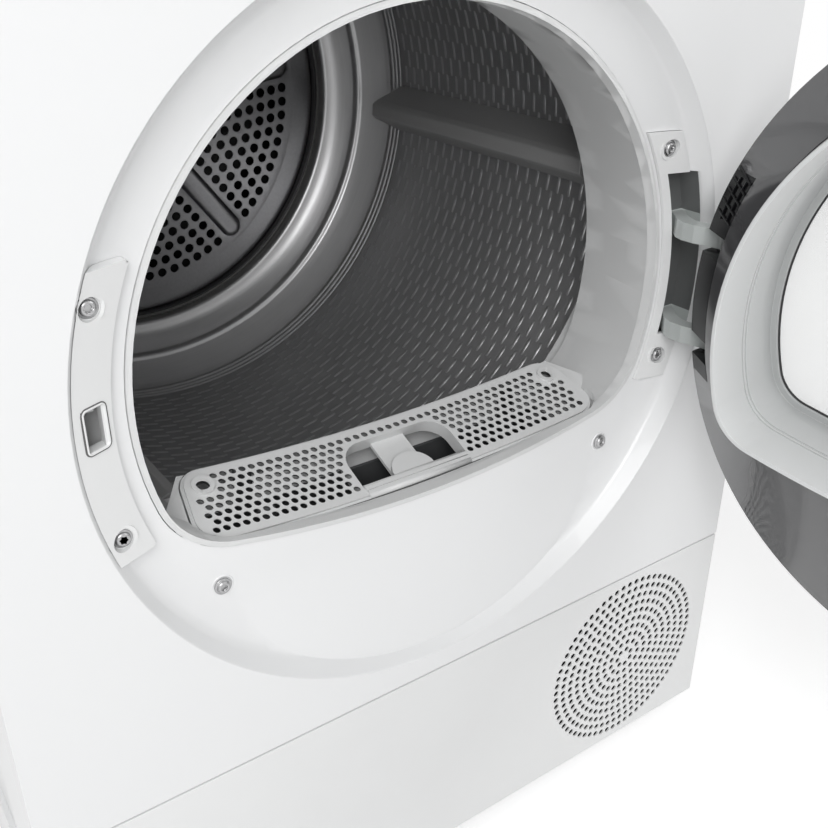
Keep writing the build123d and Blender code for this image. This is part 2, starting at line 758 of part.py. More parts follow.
def door_liner():
    tube = d_prism(15.6, -42, 33) + d_taper(15.6, 33, 17.2, 40)
    tube = tube - d_prism(20, -60, 50) + d_tube(15.6, 25, -42, -39)
    return tube - d_tube(18.6, 22, -4, -2.6) - d_tube(18.6, 22, 0, 1.4)


def door_seal():
    return d_tube(13.6, 15.5, 22.1, 26)


def door_inner_pane():
    return d_prism(15.6, -46, -42.05)


def hinge_housing():
    """Block in the rim with a slot for each arm."""
    rim = [(0, -54), (214, -54), (220, -50), (DOOR_R, -16), (DOOR_R, -12), (184, 22), (0, 22)]
    housing = hinge_notch() & turned(poly(rim), MID_Z)
    for side in (-1, 1):
        z = MID_Z + side * ARM_RISE
        housing = housing - box(190, 260, -38, 70, z - ARM_HIGH / 2 - 1.5, z + ARM_HIGH / 2 + 1.5)
    return housing - rod_z(PIN_R, MID_Z - 56, MID_Z + 56, HINGE_X, HINGE_Y)


def door_pin():
    return rod_z(PIN_R, MID_Z - 56, MID_Z + 56, HINGE_X, HINGE_Y)


def hook_shape():
    return box(-224, -219.5, -20, 22, 440, 452)


def door_hook():
    return hook_shape() - box(-226, -218, 10, 16, 438, 446)


def opened(shape):
    """Turn a door piece about the hinge axis to its rest position."""
    return Pos(HINGE_X, HINGE_Y, 0) * (Rot(0, 0, DOOR_OPEN) * (Pos(-HINGE_X, -HINGE_Y, 0) * shape))


PARTS = {
    "base_tray": base_tray,
    "leveling_feet": leveling_feet,
    "right_side_panel": lambda: side_panel(1),
    "left_side_panel": lambda: side_panel(-1),
    "rear_panel": rear_panel,
    "rear_duct_cover": rear_duct_cover,
    "worktop": worktop,
    "front_panel": front_panel,
    "plinth_panel": plinth_panel,
    "control_panel": control_panel,
    "display_window": display_window,
    "control_board": control_board,
    "front_bulkhead": front_bulkhead,
    "rear_bulkhead": rear_bulkhead,
    "rear_plate": rear_plate,
    "front_seal": front_seal,
    "rear_seal": rear_seal,
    "latch_cover": latch_cover,
    "hinge_plate": hinge_plate,
    "hinge_bracket": hinge_bracket,
    "front_screws": front_screws,
    "roller_axles": roller_axles,
    "drive_belt": drive_belt,
    "drive_motor": drive_motor,
    "fan_housing": fan_housing,
    "compressor": compressor,
    "evaporator": evaporator,
    "condenser": condenser,
    "refrigerant_pipes": refrigerant_pipes,
    "module_cover": module_cover,
    "condensate_pump": condensate_pump,
    "pump_hose": pump_hose,
    "tank_guide": tank_guide,
    "cord_gland": cord_gland,
    "door_frame": lambda: opened(door_frame()),
    "door_outer_pane": lambda: opened(door_outer_pane()),
    "door_liner": lambda: opened(door_liner()),
    "door_inner_pane": lambda: opened(door_inner_pane()),
    "door_seal": lambda: opened(door_seal()),
    "door_hinge_pocket": lambda: opened(hinge_housing()),
    "door_pin": lambda: opened(door_pin()),
    "door_hook": lambda: opened(door_hook()),
    "filter_top": filter_top,
    "filter_basket": filter_basket,
    "filter_mesh": filter_mesh,
    "tank_front": tank_front,
    "condensate_tank": condensate_tank,
    "program_knob": program_knob,
    "power_key": lambda: key_cap(key_places()[0]),
    "start_key": lambda: key_cap(key_places()[1]),
    "option_key_left": lambda: key_cap(key_places()[2]),
    "option_key_right": lambda: key_cap(key_places()[3]),
    "latch_tongue": latch_tongue,
    "drum_shell": drum_shell,
    "drum_front": drum_front,
    "drum_rear": drum_rear,
    "drum_lifters": drum_lifters,
    "motor_rotor": motor_rotor,
    "support_roller_left": lambda: support_roller(roller_places()[0]),
    "support_roller_right": lambda: support_roller(roller_places()[1]),
}

if __name__ == "__main__":
    os.makedirs("parts", exist_ok=True)
    for name, make in PARTS.items():
        export_step(Pos(0, -DEPTH / 2, FLOOR) * make(), "parts/" + name + ".step")
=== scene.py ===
import bmesh
import bpy
import json
import math
from mathutils import Matrix, Vector


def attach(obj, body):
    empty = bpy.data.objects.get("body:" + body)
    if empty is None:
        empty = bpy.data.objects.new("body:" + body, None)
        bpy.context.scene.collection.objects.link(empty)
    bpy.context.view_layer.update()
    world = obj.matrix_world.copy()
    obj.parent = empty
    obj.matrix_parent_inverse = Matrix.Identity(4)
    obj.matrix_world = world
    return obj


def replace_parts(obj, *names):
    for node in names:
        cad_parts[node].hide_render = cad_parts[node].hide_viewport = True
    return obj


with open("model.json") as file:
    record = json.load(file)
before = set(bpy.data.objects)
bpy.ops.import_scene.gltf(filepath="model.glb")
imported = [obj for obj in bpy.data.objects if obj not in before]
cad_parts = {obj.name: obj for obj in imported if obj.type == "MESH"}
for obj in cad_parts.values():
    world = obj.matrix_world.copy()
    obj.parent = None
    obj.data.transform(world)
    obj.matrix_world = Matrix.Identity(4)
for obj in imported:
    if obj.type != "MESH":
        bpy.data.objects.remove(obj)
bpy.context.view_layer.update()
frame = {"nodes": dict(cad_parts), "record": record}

# The room: a pale seamless floor, one large soft lamp over the left shoulder, a weaker one
# from the right and an even pale surround, seen by camera, gloss and glass as white.
scene = bpy.context.scene
scene.view_settings.view_transform = "Standard"


class Tone:
    """A shader socket that can be reckoned with."""

    def __init__(self, tree, socket):
        self.tree = tree
        self.socket = socket

    def node(self, kind, settings=None, inputs=None, out=0):
        """One output of a new node of the same tree."""
        made = self.tree.nodes.new(kind)
        for key, value in (settings or {}).items():
            setattr(made, key, value)
        for key, value in (inputs or {}).items():
            if isinstance(value, Tone):
                self.tree.links.new(value.socket, made.inputs[key])
            else:
                made.inputs[key].default_value = value
        return Tone(self.tree, made.outputs[out])

    def sum(self, operation, first, second=0.0):
        """The outcome of a step of reckoning."""
        return self.node("ShaderNodeMath", {"operation": operation}, {0: first, 1: second})

    def __add__(self, other):
        return self.sum("ADD", self, other)

    def __sub__(self, other):
        return self.sum("SUBTRACT", self, other)

    def __mul__(self, other):
        return self.sum("MULTIPLY", self, other)

    __rmul__ = __mul__

    def axes(self):
        """The x, y and z of a place."""
        return [self.node("ShaderNodeSeparateXYZ", None, {"Vector": self}, k) for k in range(3)]


def finish(name, colour, roughness, metallic=0.0, **sockets):
    """A new finish with its shader and the place on the piece that it is asked for."""
    made = bpy.data.materials.new(name)
    made.use_nodes = True
    tree = made.node_tree
    shader = tree.nodes["Principled BSDF"]
    shader.inputs["Base Color"].default_value = (*colour, 1)
    shader.inputs["Roughness"].default_value = roughness
    shader.inputs["Metallic"].default_value = metallic
    for key, value in sockets.items():
        shader.inputs[key.replace("_", " ")].default_value = value
    spot = Tone(tree, tree.nodes.new("ShaderNodeTexCoord").outputs["Object"])
    return made, shader, spot


def feed(spot, shader, socket, value):
    """Let a value drive a socket of the shader."""
    spot.tree.links.new(value.socket, shader.inputs[socket])


def relief(spot, shader, height, strength, distance):
    """Fine bumps that are too small for the mesh."""
    bump = spot.node("ShaderNodeBump", None,
                     {"Strength": strength, "Distance": distance, "Height": height})
    feed(spot, shader, "Normal", bump)


def cloud(spot, scale, detail=3.0):
    """Soft noise from 0 to 1."""
    return spot.node("ShaderNodeTexNoise", None,
                     {"Vector": spot, "Scale": scale, "Detail": detail})


def shades(spot, factor, low, high):
    """A colour between two, by a factor."""
    return spot.node("ShaderNodeMix", {"data_type": "RGBA"},
                     {0: factor, 6: (*low, 1), 7: (*high, 1)}, 2)


def in_sight(tree):
    """1 for rays from the eye, also by way of gloss and glass, and 0 for scattered light."""
    path = tree.nodes.new("ShaderNodeLightPath")
    seen, shone, passed = [Tone(tree, path.outputs["Is " + way + " Ray"])
                           for way in ("Camera", "Glossy", "Transmission")]
    return seen.sum("MINIMUM", seen + shone + passed, 1.0)


AMBIENT = 0.42
FLOOR_HALF = 6
FADE_FROM, FADE_TO = 1.2, 4.5
floor_mesh = bmesh.new()
bmesh.ops.create_grid(floor_mesh, x_segments=1, y_segments=1, size=FLOOR_HALF)
floor_data = bpy.data.meshes.new("floor")
floor_mesh.to_mesh(floor_data)
floor_mesh.free()
floor = bpy.data.objects.new("floor", floor_data)
scene.collection.objects.link(floor)
floor_paint, floor_shader, floor_spot = finish("floor_paint", (0.82, 0.82, 0.82), 0.6)
feed(floor_spot, floor_shader, "Roughness", cloud(floor_spot, 2.0) * 0.1 + 0.55)
floor_shader.inputs["Emission Strength"].default_value = AMBIENT
floor_reach = floor_spot.node("ShaderNodeVectorMath", {"operation": "LENGTH"}, {0: floor_spot}, 1)
feed(floor_spot, floor_shader, "Alpha", floor_spot.node(
    "ShaderNodeMapRange", {"interpolation_type": "SMOOTHSTEP"},
    {"Value": floor_reach, "From Min": FADE_FROM, "From Max": FADE_TO,
     "To Min": 1.0, "To Max": 0.0}))
feed(floor_spot, floor_shader, "Emission Color", in_sight(floor_paint.node_tree))
floor_data.materials.append(floor_paint)

sky = bpy.data.worlds.new("pale_room")
sky.use_nodes = True
scene.world = sky
glow = sky.node_tree.nodes["Background"]
glow.inputs["Color"].default_value = (1, 1, 1, 1)
sky_seen = in_sight(sky.node_tree)
feed(sky_seen, glow, "Strength", sky_seen * (1 - AMBIENT) + AMBIENT)

for lamp_name, stand, aim, width, power in (
        ("key_lamp", (-1.3, -1.9, 2.3), (0, -0.3, 0.45), 1.4, 27),
        ("side_lamp", (1.6, -1.8, 1.6), (0, -0.3, 0.4), 1.2, 9),
        ("drum_lamp", (-0.75, -1.5, 1.05), (0.15, 0.1, 0.42), 0.5, 6)):
    lamp_data = bpy.data.lights.new(lamp_name, "AREA")
    lamp_data.size = width
    lamp_data.energy = power
    lamp = bpy.data.objects.new(lamp_name, lamp_data)
    lamp.location = stand
    lamp.rotation_euler = (Vector(aim) - Vector(stand)).to_track_quat("-Z", "Y").to_euler()
    scene.collection.objects.link(lamp)

LOOK_DOWN, LOOK_RIGHT = 27.29, 35.03
eye_data = bpy.data.cameras.new("eye")
eye_data.lens = 43.02
eye_data.sensor_width = 36
eye = bpy.data.objects.new("eye", eye_data)
eye.location = (-0.3462, -0.7494, 0.6968)
eye.rotation_euler = (math.radians(90 - LOOK_DOWN), 0, math.radians(-LOOK_RIGHT))
scene.collection.objects.link(eye)
scene.camera = eye

# The base: a dark moulded tray on four screw feet. It carries the closed heat pump module, and
# the electronics sit in a like case behind the controls. Fine spark-eroded grain all over.
BODIES = frame["record"]["behaviour"]["bodies"]
BODY = {node: body for body, nodes in BODIES.items() for node in nodes}


def dress(paint, *names):
    """Give CAD nodes a finish."""
    for name in names:
        slots = frame["nodes"][name].data.materials
        slots.clear()
        slots.append(paint)


def moulding(name, colour, roughness, grain=900.0, depth=0.0001, **sockets):
    """A moulded plastic: faint flow marks in colour and gloss, and a fine grain."""
    made, shader, spot = finish(name, colour, roughness, **sockets)
    flow = cloud(spot, 7.0)
    feed(spot, shader, "Base Color", shades(spot, flow, [c * 0.95 for c in colour],
                                            [min(1, c * 1.04) for c in colour]))
    feed(spot, shader, "Roughness", flow * 0.12 + (roughness - 0.06))
    relief(spot, shader, cloud(spot, grain), 0.12, depth)
    return made


case_plastic = moulding("case_plastic", (0.10, 0.11, 0.12), 0.5)
black_plastic = moulding("black_plastic", (0.018, 0.018, 0.02), 0.4)
dress(case_plastic, "base_tray", "control_board", "module_cover")
dress(black_plastic, "leveling_feet", "fan_housing", "condensate_pump", "cord_gland",
      "rear_bulkhead")

# The heat pump: a black enamelled compressor can, two finned aluminium coils and bare copper
# pipes brazed between them. The motor turns the fan wheel and, by a ribbed belt, the drum.
can_paint = moulding("can_paint", (0.02, 0.02, 0.02), 0.3, 300.0, 0.0002, Coat_Weight=0.4)
dress(can_paint, "compressor", "drive_motor")


def metal(name, colour, roughness, stretch, strength=0.1):
    """A bare metal with fine drawing marks, stretched along one direction."""
    made, shader, spot = finish(name, colour, roughness, 1.0)
    lines = spot.node("ShaderNodeMapping", None, {"Vector": spot, "Scale": stretch})
    marks = cloud(lines, 1.0, 4.0)
    feed(spot, shader, "Base Color", shades(spot, marks, [c * 0.86 for c in colour],
                                            [min(1, c * 1.1) for c in colour]))
    feed(spot, shader, "Roughness", marks * 0.16 + (roughness - 0.08))
    relief(spot, shader, marks, strength, 0.0001)
    return made


fin_metal = metal("fin_aluminium", (0.78, 0.79, 0.80), 0.35, (900, 40, 40))
pipe_metal = metal("pipe_copper", (0.72, 0.40, 0.27), 0.3, (60, 60, 300))
bright_zinc = metal("bright_zinc", (0.66, 0.66, 0.67), 0.25, (400, 400, 400))
dress(fin_metal, "evaporator", "condenser", "motor_rotor")
dress(pipe_metal, "refrigerant_pipes")
dress(bright_zinc, "roller_axles", "door_pin")
rubber = moulding("black_rubber", (0.03, 0.03, 0.031), 0.75, 500.0, 0.0003)
dress(rubber, "drive_belt", "pump_hose", "support_roller_left", "support_roller_right")

# The back and the sides: folded sheet screwed to the base. The back is bare galvanised steel
# with its spangle showing; inside the duct its colour is painted near black as shade. The sides
# have a pressed field and enamel.
DRUM_HIGH = 0.518
DRUM_AXIS = Vector((0, 0, DRUM_HIGH))


def galvanised(name):
    """Bare zinc whose crystals differ a little in shade and gloss."""
    made, shader, spot = finish(name, (0.56, 0.58, 0.60), 0.42, 0.85)
    spangle = spot.node("ShaderNodeTexVoronoi", None, {"Vector": spot, "Scale": 160.0}, 1)
    crystal = spot.node("ShaderNodeSeparateColor", None, {"Color": spangle})
    colour = shades(spot, crystal, (0.48, 0.50, 0.52), (0.62, 0.64, 0.66))
    feed(spot, shader, "Base Color", colour)
    feed(spot, shader, "Roughness", crystal * 0.2 + 0.32)
    return made, shader, spot, colour


zinc = galvanised("galvanised_sheet")[0]
dress(zinc, "rear_panel")
duct_zinc, duct_shader, duct_spot, duct_colour = galvanised("duct_sheet")
duct_x, duct_y, duct_z = duct_spot.axes()
duct_z = duct_z - DRUM_HIGH
duct_r = duct_spot.sum("SQRT", duct_x * duct_x + duct_z * duct_z)
duct_inside_painted_shade = 1.0
# Inside the duct the zinc is painted near black: painted shade seen through the holes of the rear
# plate.
for lean, spread, limit in ((1, 0.0074, 0.2992), (0.952, 0.306, 0.3433), (0.627, 0.779, 0.3457)):
    duct_inside_painted_shade = duct_inside_painted_shade * duct_spot.sum("LESS_THAN", duct_y * lean + duct_r * spread, limit)
feed(duct_spot, duct_shader, "Base Color", duct_spot.node(
    "ShaderNodeMix", {"data_type": "RGBA"},
    {0: duct_inside_painted_shade, 6: duct_colour, 7: (0.02, 0.02, 0.02, 1)}, 2))
dress(duct_zinc, "rear_duct_cover")

enamel, enamel_shader, enamel_spot = finish("white_enamel", (0.84, 0.845, 0.85), 0.3,
                                            Coat_Weight=0.25)
feed(enamel_spot, enamel_shader, "Roughness", cloud(enamel_spot, 9.0) * 0.1 + 0.26)
feed(enamel_spot, enamel_shader, "Base Color",
     shades(enamel_spot, cloud(enamel_spot, 3.0), (0.83, 0.835, 0.84), (0.85, 0.855, 0.86)))
relief(enamel_spot, enamel_shader, cloud(enamel_spot, 260.0), 0.05, 0.0003)


def place(name, shape, paint, body):
    """Turn a finished shape into a piece that rides on a body."""
    data = bpy.data.meshes.new(name)
    for face in shape.faces:
        face.smooth = True
    shape.to_mesh(data)
    shape.free()
    data.materials.append(paint)
    piece = bpy.data.objects.new(name, data)
    scene.collection.objects.link(piece)
    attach(piece, body)
    even = piece.modifiers.new("even_normals", "WEIGHTED_NORMAL")
    even.keep_sharp = True
    return piece


WELD = 2e-6
FLAT = math.radians(0.4)
SHARP = 0.6


def soften(node, paint, width=0.5, steps=2, choose=None, reshape=None):
    """A copy of a CAD node as it leaves the tool: flats in one piece and sharp edges rounded."""
    shape = bmesh.new()
    shape.from_mesh(frame["nodes"][node].data)
    bmesh.ops.remove_doubles(shape, verts=shape.verts, dist=WELD)
    if reshape:
        reshape(shape)
    bmesh.ops.dissolve_limit(shape, angle_limit=FLAT, verts=shape.verts, edges=shape.edges)
    shape.normal_update()
    sharp = [edge for edge in shape.edges if edge.is_manifold and edge.calc_face_angle(0) > SHARP
             and (choose is None or choose(edge))]
    bmesh.ops.bevel(shape, geom=sharp, offset=width / 1000, offset_type="OFFSET", affect="EDGES",
                    segments=steps, profile=0.5, material=-1, clamp_overlap=True)
    piece = place(node + "_finished", shape, paint, BODY[node])
    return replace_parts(piece, node)


def outside_holes(edge):
    """The rims of small punched holes have short edges and stay as they are."""
    return edge.calc_length() > 0.0009


for node in ("left_side_panel", "right_side_panel"):
    soften(node, enamel, 0.4)


HALF_DEPTH = 300
FEET = 10
HEAD = ((5.7, 0, 0), (5.7, 0.6, 0), (5.4, 0.9, 0), (4.6, 1.0, 0), (4.4, 1.2, 0), (4.3, 1.9, 0),
        (3.8, 2.5, 0), (3.0, 2.8, 0), (2.3, 2.8, 0.13), (2.1, 2.5, 0.16), (2.1, 1.0, 0.16))


def screw_head(shape, x, seat, z, facing, turn=0):
    """A flanged head with a six-lobed drive, looking to the front (-1) or the back (1).

    Its place is in mm from the front plane and the lower edge of the base, as in the part."""
    rounds = []
    for radius, height, lobes in HEAD:
        loop = bmesh.ops.create_circle(shape, cap_ends=False, radius=1, segments=36)["verts"]
        for vert in loop:
            angle = math.atan2(vert.co.y, vert.co.x)
            size = radius * (1 + lobes * math.cos(6 * angle + turn))
            vert.co = Vector((x + size * math.cos(angle), seat + facing * height - HALF_DEPTH,
                              z + size * math.sin(angle) + FEET)) / 1000
        rounds.append(loop)
    made = []
    for low, high in zip(rounds, rounds[1:]):
        edges = {edge for vert in low + high for edge in vert.link_edges
                 if len(edge.link_faces) < 2
                 and (set(edge.verts) <= set(low) or set(edge.verts) <= set(high))}
        made += bmesh.ops.bridge_loops(shape, edges=list(edges))["faces"]
    made += bmesh.ops.contextual_create(shape, geom=rounds[-1])["faces"]
    bmesh.ops.recalc_face_normals(shape, faces=made)


screw_metal = metal("screw_metal", (0.42, 0.42, 0.425), 0.3, (90, 90, 90), 0.02)
COVER_R, COVER_HIGH, COVER_SEAT = 227, 508, 576.4
PANEL_SEAT = 575.4
heads = bmesh.new()
for k in range(8):
    turn = math.radians(22.5 + 45 * k)
    screw_head(heads, COVER_R * math.cos(turn), COVER_SEAT,
               COVER_HIGH + COVER_R * math.sin(turn), 1, k)
for x in (-288, 288):
    for k, z in enumerate((66, 250, 500, 640, 796)):
        screw_head(heads, x, PANEL_SEAT, z, 1, k)
place("back_screw_heads", heads, screw_metal, "cabinet")

# The rear wall of the drum: a fixed steel plate, punched in arcs with holes for the warm air,
# their edges rolled back, and stiffened by radial beads. Felt rings close the gaps to the drum.
plate_steel = metal("plate_steel", (0.22, 0.22, 0.225), 0.36, (300, 300, 300), 0.05)
plate = bmesh.new()


def plate_rounds(points, *steps):
    """Rising lines, each drawn by points(grow) in mm round the drum's axis, joined into a wall.

    Gives the edges of the first line and the corners of the last."""
    rounds = [[plate.verts.new((x / 1000, (depth - HALF_DEPTH) / 1000, DRUM_HIGH + z / 1000))
               for x, z in points(grow)] for grow, depth in steps]
    for low, high in zip(rounds, rounds[1:]):
        for k in range(len(low)):
            plate.faces.new((low[k - 1], low[k], high[k], high[k - 1]))
    first, last = rounds[0], rounds[-1]
    return [plate.edges.get((first[k - 1], first[k])) for k in range(len(first))], last


def spots(x, z, count):
    """A circle about a point, drawn by its radius."""
    return lambda radius: [(x + radius * math.cos(math.tau * k / count),
                            z + radius * math.sin(math.tau * k / count)) for k in range(count)]


BEAD_ENDS = (178, 56)
BEAD_STEPS = 28


def bead_line(turn):
    """The long round-ended outline of a radial bead, drawn by half its width."""
    def line(half):
        angles = [math.tau * (k + 0.5) / BEAD_STEPS - math.pi / 2 for k in range(BEAD_STEPS)]
        flat = [(BEAD_ENDS[2 * k // BEAD_STEPS] + half * math.cos(a), half * math.sin(a))
                for k, a in enumerate(angles)]
        return [(u * math.cos(turn) - v * math.sin(turn),
                 u * math.sin(turn) + v * math.cos(turn)) for u, v in flat]
    return line


PLATE_RIM = ((195, 557), (196.2, 556), (217.4, 556), (219, 557.2), (219, 558.4))
PLATE_BEAD = ((12.4, 557), (11.2, 555.8), (10.2, 554), (8.6, 552.4), (6.4, 551.4), (3.4, 551))
PLATE_HOLE = ((5.3, 557), (4.9, 557.15), (4.7, 557.5), (4.7, 558.4))
FIRST_BEAD = -53
ARCS, OUTER_ARC, ARC_PITCH = 9, 182.4, 13.1
BESIDE_BEAD = 22.5
edges, _ = plate_rounds(spots(0, 0, 144), *PLATE_RIM)
for sector in range(6):
    turn = math.radians(60 * sector + FIRST_BEAD)
    outline, top = plate_rounds(bead_line(turn), *PLATE_BEAD)
    plate.faces.new(top)
    edges += outline
    for arc in range(ARCS):
        radius = OUTER_ARC - ARC_PITCH * arc
        reach = math.pi / 6 - math.asin(BESIDE_BEAD / radius)
        gaps = ARCS + 1 - arc
        for k in range(gaps + 1):
            angle = turn + math.pi / 6 + reach * (2 * k / gaps - 1)
            outline, _ = plate_rounds(spots(radius * math.cos(angle), radius * math.sin(angle), 16),
                                      *PLATE_HOLE)
            edges += outline
bmesh.ops.triangle_fill(plate, use_beauty=True, edges=edges, normal=(0, -1, 0))
bmesh.ops.recalc_face_normals(plate, faces=plate.faces)
if max(plate.faces, key=lambda face: face.calc_area()).normal.y > 0:
    bmesh.ops.reverse_faces(plate, faces=plate.faces)
rear_plate = place("rear_plate_finished", plate, plate_steel, BODY["rear_plate"])
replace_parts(rear_plate, "rear_plate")
felt, felt_shader, felt_spot = finish("grey_felt", (0.20, 0.20, 0.19), 0.95, Sheen_Weight=0.4)
fibres = cloud(felt_spot, 1500.0, 6.0)
feed(felt_spot, felt_shader, "Base Color",
     shades(felt_spot, fibres, (0.13, 0.13, 0.125), (0.28, 0.28, 0.27)))
relief(felt_spot, felt_shader, fibres, 0.7, 0.0008)
dress(felt, "front_seal", "rear_seal")

# The drum: one turned and beaded stainless shell, drawn into a polished dish at the rear and
# embossed all round with staggered short dashes, whose paler steel is a painted highlight. It runs
# on two rollers and the felt rings.
beads = [(284 - high, start + along) for start in (471.6, 478.6, 485.6) for along, high in
         ((0, 0), (0.7, 1.1), (1.7, 1.9), (2.5, 2.1), (3.3, 1.9), (4.3, 1.1), (5, 0))]
inner = [(259, 104), (259, 114.5), (261, 117.2), (281.5, 123.3), (284, 126), (284, 300)] + beads + [
    (284, 493.2), (282.8, 494.6), (281.4, 496.6), (279.6, 499), (274, 505.4), (268, 512),
    (262, 518), (260.2, 519.2), (258.6, 519.5), (257, 520.4), (256, 522.4), (255.4, 525),
    (254.4, 526.6), (250.4, 530.2), (246.2, 533.8), (242.2, 537), (238.6, 539.4), (235, 541.2),
    (231.4, 542.3), (229, 543.2), (227.6, 545), (227, 548), (227, 560)]
outer = [(228, 560), (228, 550), (230, 544.6), (238, 541.4), (257, 527.5), (276, 509), (282, 502),
         (285.2, 496), (285.2, 124), (260.2, 118), (260.2, 104)]
shell = bmesh.new()
rim = [shell.verts.new((r / 1000, (y - HALF_DEPTH) / 1000, DRUM_AXIS.z)) for r, y in inner + outer]
for one, two in zip(rim, rim[1:] + rim[:1]):
    shell.edges.new((one, two))
bmesh.ops.spin(shell, geom=shell.verts[:] + shell.edges[:], cent=DRUM_AXIS, axis=(0, 1, 0),
               dvec=(0, 0, 0), angle=math.tau, steps=180, use_merge=True, use_duplicate=False)
bmesh.ops.remove_doubles(shell, verts=shell.verts, dist=1e-6)
bmesh.ops.recalc_face_normals(shell, faces=shell.faces)

steel, steel_shader, steel_spot = finish("drum_steel", (0.55, 0.55, 0.555), 0.32, 0.72)
across, along, upward = steel_spot.axes()
upward = upward - DRUM_AXIS.z
turn = across.sum("ARCTAN2", upward, across)
reach = across.sum("SQRT", across * across + upward * upward)
lathe = steel_spot.node("ShaderNodeCombineXYZ", None,
                        {0: turn * 6.0, 1: along * 700.0, 2: reach * 700.0})
marks = cloud(lathe, 1.0)
feed(steel_spot, steel_shader, "Base Color",
     shades(steel_spot, marks, (0.51, 0.51, 0.515), (0.59, 0.59, 0.595)))
feed(steel_spot, steel_shader, "Roughness", marks * 0.14 + 0.26)
relief(steel_spot, steel_shader, marks, 0.06, 0.0001)
drum = place("drum_finished", shell, steel, "drum")
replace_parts(drum, "drum_shell", "drum_front", "drum_rear")

DRUM_R, DASH_FOOT = 0.284, 0.2842
DASH_LONG, DASH_WIDE, DASH_HIGH = 0.0100, 0.0021, 0.0010
DASH_COUNT, DASH_RINGS, DASH_PITCH = 54, 46, 0.00735
DASH_FIRST = -0.168
dashes = bmesh.new()
bmesh.ops.create_grid(dashes, x_segments=4, y_segments=4, size=1)
for vert in dashes.verts:
    swell = (1 - vert.co.x ** 4) * (1 - vert.co.y ** 2)
    lean = vert.co.x * DASH_LONG / DRUM_R
    radius = DASH_FOOT - DASH_HIGH * swell
    vert.co = DRUM_AXIS + Vector((math.cos(lean) * radius, DASH_WIDE * vert.co.y + DASH_FIRST,
                                  math.sin(lean) * radius))
bmesh.ops.recalc_face_normals(dashes, faces=dashes.faces)
for copies, turn_by, shift in ((1, math.tau / (2 * DASH_COUNT), DASH_PITCH),
                               (DASH_COUNT - 1, math.tau / DASH_COUNT, 0),
                               (DASH_RINGS // 2 - 1, 0, 2 * DASH_PITCH)):
    bmesh.ops.spin(dashes, geom=dashes.verts[:] + dashes.edges[:] + dashes.faces[:],
                   cent=DRUM_AXIS, axis=(0, 1, 0), dvec=(0, shift, 0), angle=turn_by * copies,
                   steps=copies, use_merge=False, use_duplicate=True)
for face in dashes.faces:
    middle = face.calc_center_median() - DRUM_AXIS
    if face.normal.x * middle.x + face.normal.z * middle.z > 0:
        face.normal_flip()
# The dashes are a paler steel than the shell: a painted highlight that stands in for their glints.
dash_highlight_steel = metal("dash_painted_highlight", (0.86, 0.86, 0.865), 0.40, (200, 200, 200), 0.04)
place("drum_dashes", dashes, dash_highlight_steel, "drum")

lifter_grey = moulding("lifter_grey", (0.42, 0.42, 0.42), 0.42)
soften("drum_lifters", lifter_grey, 1.2, 3)

# The moulded wall behind the front panel: throat, sill and lint pocket in one light grey piece,
# with a rounded lip that shows inside the edge of the panel.
grey = moulding("light_grey_moulding", (0.71, 0.715, 0.715), 0.42)
OPENING_HIGH = 0.451
UPPER_R, UPPER_TURN = 0.199, -0.3091
LOWER_HIGH, LOWER_R, LOWER_TURN = 1.063, 0.725, -1.3647
CORNER_X, CORNER_HIGH, CORNER_R = 0.137175, 0.407193, 0.055


def by_opening(spot):
    """The way out from the loading opening at a point, and how far inside its outline it is."""
    if math.atan2(spot.z - OPENING_HIGH, abs(spot.x)) > UPPER_TURN:
        middle, radius = Vector((0, spot.y, OPENING_HIGH)), UPPER_R
    elif math.atan2(spot.z - LOWER_HIGH, abs(spot.x)) < LOWER_TURN:
        middle, radius = Vector((0, spot.y, LOWER_HIGH)), LOWER_R
    else:
        middle, radius = Vector((math.copysign(CORNER_X, spot.x), spot.y, CORNER_HIGH)), CORNER_R
    return (spot - middle).normalized(), radius - (spot - middle).length


LIP_FRONT, LIP_SHIFT = -0.2791, 0.0008
LIP_BEFORE, THROAT_BEFORE = -0.2761, -0.2716
LIP_OUT, LIP_IN = -0.0041, 0.0021


def roll_lip(shape):
    """Bring the front of the throat out through the panel as a rolled lip."""
    for vert in shape.verts:
        away, inset = by_opening(vert.co)
        if vert.co.y < LIP_BEFORE and LIP_OUT < inset < LIP_IN:
            vert.co += away * (inset * 0.4 + 0.0018)
            vert.co.x += LIP_SHIFT
            vert.co.y = LIP_FRONT
        elif vert.co.y < THROAT_BEFORE and 0.0004 < inset < LIP_IN:
            vert.co += away * (inset - 0.0001)
    bmesh.ops.remove_doubles(shape, verts=shape.verts, dist=WELD)
    shape.normal_update()
    edges = [edge for edge in shape.edges if edge.is_manifold and edge.calc_face_angle(0) > SHARP
             and max(vert.co.y for vert in edge.verts) < LIP_FRONT + 0.00005]
    bmesh.ops.bevel(shape, geom=edges, offset=0.0014, offset_type="OFFSET", affect="EDGES",
                    segments=4, profile=0.5, material=-1, clamp_overlap=True)


soften("front_bulkhead", grey, 0.6, reshape=roll_lip)
dress(grey, "tank_guide", "condensate_tank")

# The lint filter: a bowed and perforated grey cover with a hand hold, clipped over a basket
# of fine woven mesh that is painted near black as shade. A thin dark strip on the sill round it is
# painted shade in the groove.
soften("filter_top", grey, choose=outside_holes)
